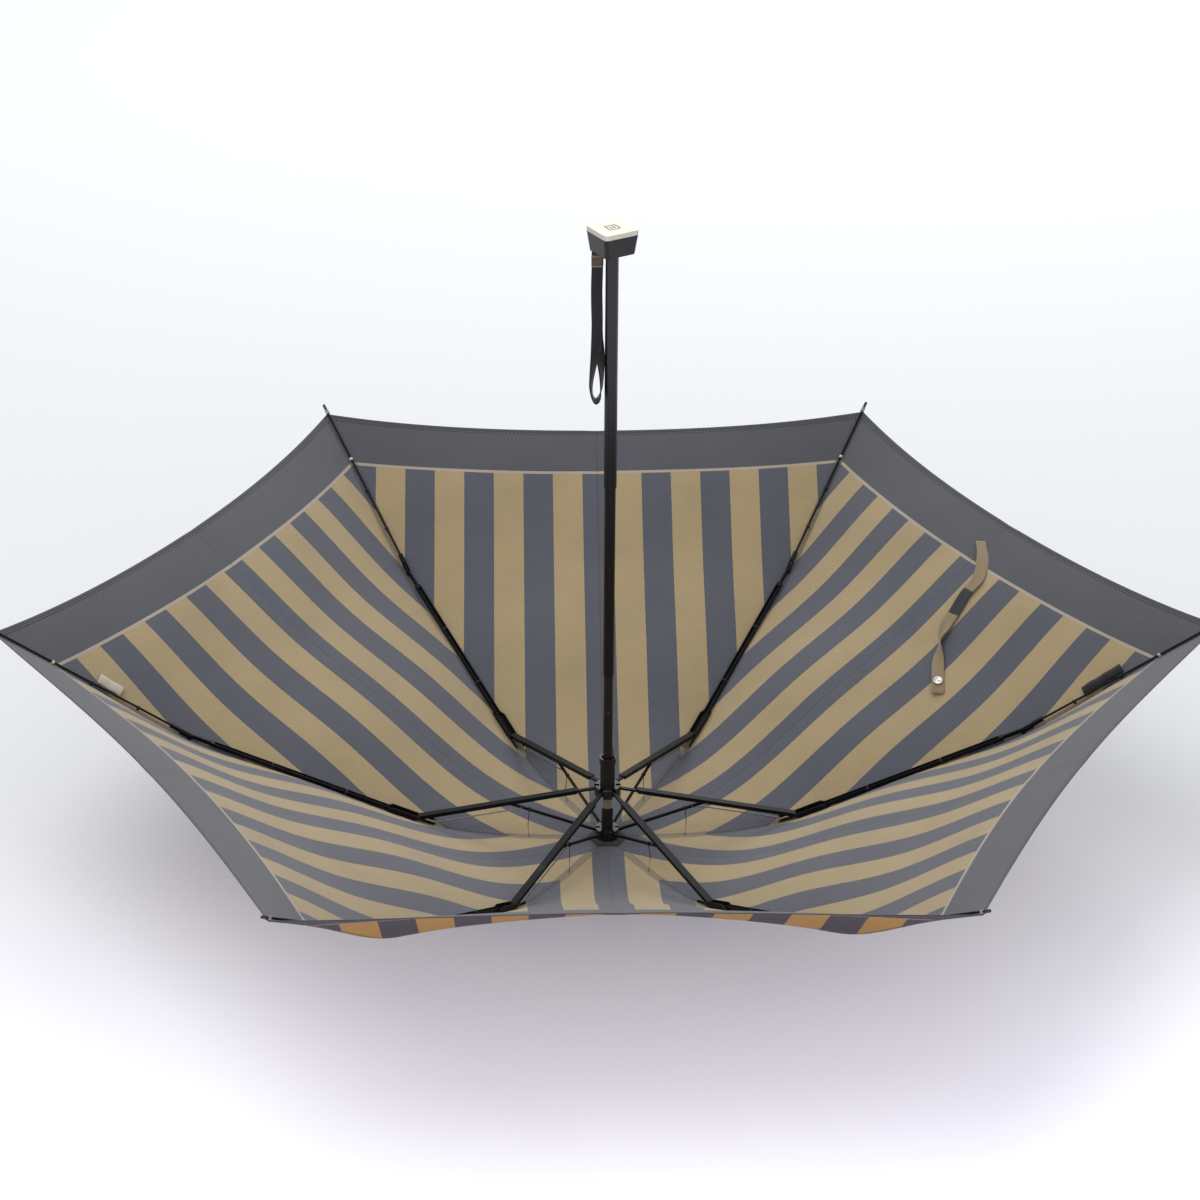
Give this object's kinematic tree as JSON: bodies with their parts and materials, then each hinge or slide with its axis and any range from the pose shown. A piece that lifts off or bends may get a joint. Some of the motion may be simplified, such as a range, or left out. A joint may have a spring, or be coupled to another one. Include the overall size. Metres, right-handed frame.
{
  "type": "folding umbrella",
  "caption": "Open compact folding umbrella standing on its ferrule, handle up: hexagonal striped canopy, jointed ribs, telescoping shaft, square handle, wrist strap.",
  "frame": {"origin": "centre of the ferrule's flat end", "axes": "+Z along the shaft towards the handle, +X along rib 1"},
  "size_m": [0.9264, 0.8026, 0.5125],
  "materials": {
    "canopy_cloth": "satin woven, striped",
    "strap_cloth": "woven",
    "label_cloth": "woven",
    "webbing": "woven",
    "black_plastic": "satin",
    "shaft": "satin",
    "rib": "satin",
    "wire": "satin",
    "link": "bare wire",
    "catch": "dull",
    "snap": "polished",
    "handle": "satin",
    "handle_plate": "satin, champagne",
    "tip": "gloss"
  },
  "bodies": {
    "root": {"crown": "black_plastic", "crown_wire": "wire", "ferrule_cap": "black_plastic", "inner_tube": "shaft", "canopy": "canopy_cloth", "rosette": "canopy_cloth", "closure_strap": "strap_cloth", "closure_snap": "snap", "labels": "label_cloth"},
    "middle_tube": {"middle_tube": "shaft"},
    "outer_tube": {"outer_tube": "shaft", "handle_body": "handle", "handle_plate": "handle_plate"},
    "strap": {"wrist_strap": "webbing"},
    "catch": {"catch_spring": "catch"},
    "runner": {"runner": "black_plastic", "runner_wire": "wire"},
    "top_rib_1": {"top_rib_1": "rib"},
    "stretcher_1": {"stretcher_1": "rib", "rivets_1": "wire"},
    "link_wire_1": {"link_wire_1": "link"},
    "middle_rib_1": {"middle_rib_1": "rib"},
    "outer_rib_1": {"outer_rib_1": "rib", "tip_1": "tip"},
    "top_rib_2": {"top_rib_2": "rib"},
    "stretcher_2": {"stretcher_2": "rib", "rivets_2": "wire"},
    "link_wire_2": {"link_wire_2": "link"},
    "middle_rib_2": {"middle_rib_2": "rib"},
    "outer_rib_2": {"outer_rib_2": "rib", "tip_2": "tip"},
    "top_rib_3": {"top_rib_3": "rib"},
    "stretcher_3": {"stretcher_3": "rib", "rivets_3": "wire"},
    "link_wire_3": {"link_wire_3": "link"},
    "middle_rib_3": {"middle_rib_3": "rib"},
    "outer_rib_3": {"outer_rib_3": "rib", "tip_3": "tip"},
    "top_rib_4": {"top_rib_4": "rib"},
    "stretcher_4": {"stretcher_4": "rib", "rivets_4": "wire"},
    "link_wire_4": {"link_wire_4": "link"},
    "middle_rib_4": {"middle_rib_4": "rib"},
    "outer_rib_4": {"outer_rib_4": "rib", "tip_4": "tip"},
    "top_rib_5": {"top_rib_5": "rib"},
    "stretcher_5": {"stretcher_5": "rib", "rivets_5": "wire"},
    "link_wire_5": {"link_wire_5": "link"},
    "middle_rib_5": {"middle_rib_5": "rib"},
    "outer_rib_5": {"outer_rib_5": "rib", "tip_5": "tip"},
    "top_rib_6": {"top_rib_6": "rib"},
    "stretcher_6": {"stretcher_6": "rib", "rivets_6": "wire"},
    "link_wire_6": {"link_wire_6": "link"},
    "middle_rib_6": {"middle_rib_6": "rib"},
    "outer_rib_6": {"outer_rib_6": "rib", "tip_6": "tip"}
  },
  "joints": [
    {"name": "runner_slide", "type": "slide", "parent": "root", "child": "runner", "axis": [0, 0, 1], "range_m": [0, 0.10411], "deforming": ["canopy", "closure_strap", "closure_snap", "labels"]},
    {"name": "middle_tube_slide", "type": "slide", "parent": "root", "child": "middle_tube", "axis": [0, 0, -1], "range_m": [0, 0.1125]},
    {"name": "outer_tube_slide", "type": "slide", "parent": "middle_tube", "child": "outer_tube", "axis": [0, 0, -1], "range_m": [0, 0.155]},
    {"name": "catch_press", "type": "hinge", "parent": "root", "child": "catch", "pos_m": [0, 0, 0.12451], "axis": [0, 1, 0], "range_deg": [0, 5.2]},
    {"name": "strap_swing", "type": "hinge", "parent": "outer_tube", "child": "strap", "pos_m": [-0.0097, 0, 0.4945], "axis": [1, 0, 0], "range_deg": [-70, 70], "deforming": ["wrist_strap"]},
    {"name": "crown_hinge_1", "type": "hinge", "parent": "root", "child": "top_rib_1", "pos_m": [0.007, 0, 0.02], "axis": [0, -1, 0], "range_deg": [0, 64.03]},
    {"name": "rib_hinge_1", "type": "hinge", "parent": "top_rib_1", "child": "stretcher_1", "pos_m": [0.07654, 0, 0.04531], "axis": [0, -1, 0], "range_deg": [-139.29, 0]},
    {"name": "link_hinge_1", "type": "hinge", "parent": "top_rib_1", "child": "link_wire_1", "pos_m": [0.06526, 0, 0.04121], "axis": [0, -1, 0], "range_deg": [-139.29, 0]},
    {"name": "elbow_hinge_1", "type": "hinge", "parent": "stretcher_1", "child": "middle_rib_1", "pos_m": [0.14393, 0, 0.03306], "axis": [0, -1, 0], "range_deg": [0, 139.29]},
    {"name": "outer_hinge_1", "type": "hinge", "parent": "middle_rib_1", "child": "outer_rib_1", "pos_m": [0.31567, 0, 0.10454], "axis": [0, -1, 0], "range_deg": [-186.79, 0]},
    {"name": "crown_hinge_2", "type": "hinge", "parent": "root", "child": "top_rib_2", "pos_m": [0.0035, 0.00606, 0.02], "axis": [0.866, -0.5, 0], "range_deg": [0, 64.03]},
    {"name": "rib_hinge_2", "type": "hinge", "parent": "top_rib_2", "child": "stretcher_2", "pos_m": [0.03827, 0.06628, 0.04531], "axis": [0.866, -0.5, 0], "range_deg": [-139.29, 0]},
    {"name": "link_hinge_2", "type": "hinge", "parent": "top_rib_2", "child": "link_wire_2", "pos_m": [0.03263, 0.05652, 0.04121], "axis": [0.866, -0.5, 0], "range_deg": [-139.29, 0]},
    {"name": "elbow_hinge_2", "type": "hinge", "parent": "stretcher_2", "child": "middle_rib_2", "pos_m": [0.07197, 0.12465, 0.03306], "axis": [0.866, -0.5, 0], "range_deg": [0, 139.29]},
    {"name": "outer_hinge_2", "type": "hinge", "parent": "middle_rib_2", "child": "outer_rib_2", "pos_m": [0.15783, 0.27338, 0.10454], "axis": [0.866, -0.5, 0], "range_deg": [-186.79, 0]},
    {"name": "crown_hinge_3", "type": "hinge", "parent": "root", "child": "top_rib_3", "pos_m": [-0.0035, 0.00606, 0.02], "axis": [0.866, 0.5, 0], "range_deg": [0, 64.03]},
    {"name": "rib_hinge_3", "type": "hinge", "parent": "top_rib_3", "child": "stretcher_3", "pos_m": [-0.03827, 0.06628, 0.04531], "axis": [0.866, 0.5, 0], "range_deg": [-139.29, 0]},
    {"name": "link_hinge_3", "type": "hinge", "parent": "top_rib_3", "child": "link_wire_3", "pos_m": [-0.03263, 0.05652, 0.04121], "axis": [0.866, 0.5, 0], "range_deg": [-139.29, 0]},
    {"name": "elbow_hinge_3", "type": "hinge", "parent": "stretcher_3", "child": "middle_rib_3", "pos_m": [-0.07197, 0.12465, 0.03306], "axis": [0.866, 0.5, 0], "range_deg": [0, 139.29]},
    {"name": "outer_hinge_3", "type": "hinge", "parent": "middle_rib_3", "child": "outer_rib_3", "pos_m": [-0.15783, 0.27338, 0.10454], "axis": [0.866, 0.5, 0], "range_deg": [-186.79, 0]},
    {"name": "crown_hinge_4", "type": "hinge", "parent": "root", "child": "top_rib_4", "pos_m": [-0.007, 0, 0.02], "axis": [0, 1, 0], "range_deg": [0, 64.03]},
    {"name": "rib_hinge_4", "type": "hinge", "parent": "top_rib_4", "child": "stretcher_4", "pos_m": [-0.07654, 0, 0.04531], "axis": [0, 1, 0], "range_deg": [-139.29, 0]},
    {"name": "link_hinge_4", "type": "hinge", "parent": "top_rib_4", "child": "link_wire_4", "pos_m": [-0.06526, 0, 0.04121], "axis": [0, 1, 0], "range_deg": [-139.29, 0]},
    {"name": "elbow_hinge_4", "type": "hinge", "parent": "stretcher_4", "child": "middle_rib_4", "pos_m": [-0.14393, 0, 0.03306], "axis": [0, 1, 0], "range_deg": [0, 139.29]},
    {"name": "outer_hinge_4", "type": "hinge", "parent": "middle_rib_4", "child": "outer_rib_4", "pos_m": [-0.31567, 0, 0.10454], "axis": [0, 1, 0], "range_deg": [-186.79, 0]},
    {"name": "crown_hinge_5", "type": "hinge", "parent": "root", "child": "top_rib_5", "pos_m": [-0.0035, -0.00606, 0.02], "axis": [-0.866, 0.5, 0], "range_deg": [0, 64.03]},
    {"name": "rib_hinge_5", "type": "hinge", "parent": "top_rib_5", "child": "stretcher_5", "pos_m": [-0.03827, -0.06628, 0.04531], "axis": [-0.866, 0.5, 0], "range_deg": [-139.29, 0]},
    {"name": "link_hinge_5", "type": "hinge", "parent": "top_rib_5", "child": "link_wire_5", "pos_m": [-0.03263, -0.05652, 0.04121], "axis": [-0.866, 0.5, 0], "range_deg": [-139.29, 0]},
    {"name": "elbow_hinge_5", "type": "hinge", "parent": "stretcher_5", "child": "middle_rib_5", "pos_m": [-0.07197, -0.12465, 0.03306], "axis": [-0.866, 0.5, 0], "range_deg": [0, 139.29]},
    {"name": "outer_hinge_5", "type": "hinge", "parent": "middle_rib_5", "child": "outer_rib_5", "pos_m": [-0.15783, -0.27338, 0.10454], "axis": [-0.866, 0.5, 0], "range_deg": [-186.79, 0]},
    {"name": "crown_hinge_6", "type": "hinge", "parent": "root", "child": "top_rib_6", "pos_m": [0.0035, -0.00606, 0.02], "axis": [-0.866, -0.5, 0], "range_deg": [0, 64.03]},
    {"name": "rib_hinge_6", "type": "hinge", "parent": "top_rib_6", "child": "stretcher_6", "pos_m": [0.03827, -0.06628, 0.04531], "axis": [-0.866, -0.5, 0], "range_deg": [-139.29, 0]},
    {"name": "link_hinge_6", "type": "hinge", "parent": "top_rib_6", "child": "link_wire_6", "pos_m": [0.03263, -0.05652, 0.04121], "axis": [-0.866, -0.5, 0], "range_deg": [-139.29, 0]},
    {"name": "elbow_hinge_6", "type": "hinge", "parent": "stretcher_6", "child": "middle_rib_6", "pos_m": [0.07197, -0.12465, 0.03306], "axis": [-0.866, -0.5, 0], "range_deg": [0, 139.29]},
    {"name": "outer_hinge_6", "type": "hinge", "parent": "middle_rib_6", "child": "outer_rib_6", "pos_m": [0.15783, -0.27338, 0.10454], "axis": [-0.866, -0.5, 0], "range_deg": [-186.79, 0]}
  ],
  "couplings": [
    {"joint": "catch_press", "follows": "middle_tube_slide", "rad_per_m": 0.80665},
    {"joint": "crown_hinge_1", "follows": "runner_slide", "rad_per_m": 10.729},
    {"joint": "rib_hinge_1", "follows": "runner_slide", "rad_per_m": -23.338},
    {"joint": "link_hinge_1", "follows": "runner_slide", "rad_per_m": -23.338},
    {"joint": "elbow_hinge_1", "follows": "runner_slide", "rad_per_m": 23.338},
    {"joint": "outer_hinge_1", "follows": "runner_slide", "rad_per_m": -31.298},
    {"joint": "crown_hinge_2", "follows": "runner_slide", "rad_per_m": 10.729},
    {"joint": "rib_hinge_2", "follows": "runner_slide", "rad_per_m": -23.338},
    {"joint": "link_hinge_2", "follows": "runner_slide", "rad_per_m": -23.338},
    {"joint": "elbow_hinge_2", "follows": "runner_slide", "rad_per_m": 23.338},
    {"joint": "outer_hinge_2", "follows": "runner_slide", "rad_per_m": -31.298},
    {"joint": "crown_hinge_3", "follows": "runner_slide", "rad_per_m": 10.729},
    {"joint": "rib_hinge_3", "follows": "runner_slide", "rad_per_m": -23.338},
    {"joint": "link_hinge_3", "follows": "runner_slide", "rad_per_m": -23.338},
    {"joint": "elbow_hinge_3", "follows": "runner_slide", "rad_per_m": 23.338},
    {"joint": "outer_hinge_3", "follows": "runner_slide", "rad_per_m": -31.298},
    {"joint": "crown_hinge_4", "follows": "runner_slide", "rad_per_m": 10.729},
    {"joint": "rib_hinge_4", "follows": "runner_slide", "rad_per_m": -23.338},
    {"joint": "link_hinge_4", "follows": "runner_slide", "rad_per_m": -23.338},
    {"joint": "elbow_hinge_4", "follows": "runner_slide", "rad_per_m": 23.338},
    {"joint": "outer_hinge_4", "follows": "runner_slide", "rad_per_m": -31.298},
    {"joint": "crown_hinge_5", "follows": "runner_slide", "rad_per_m": 10.729},
    {"joint": "rib_hinge_5", "follows": "runner_slide", "rad_per_m": -23.338},
    {"joint": "link_hinge_5", "follows": "runner_slide", "rad_per_m": -23.338},
    {"joint": "elbow_hinge_5", "follows": "runner_slide", "rad_per_m": 23.338},
    {"joint": "outer_hinge_5", "follows": "runner_slide", "rad_per_m": -31.298},
    {"joint": "crown_hinge_6", "follows": "runner_slide", "rad_per_m": 10.729},
    {"joint": "rib_hinge_6", "follows": "runner_slide", "rad_per_m": -23.338},
    {"joint": "link_hinge_6", "follows": "runner_slide", "rad_per_m": -23.338},
    {"joint": "elbow_hinge_6", "follows": "runner_slide", "rad_per_m": 23.338},
    {"joint": "outer_hinge_6", "follows": "runner_slide", "rad_per_m": -31.298}
  ]
}
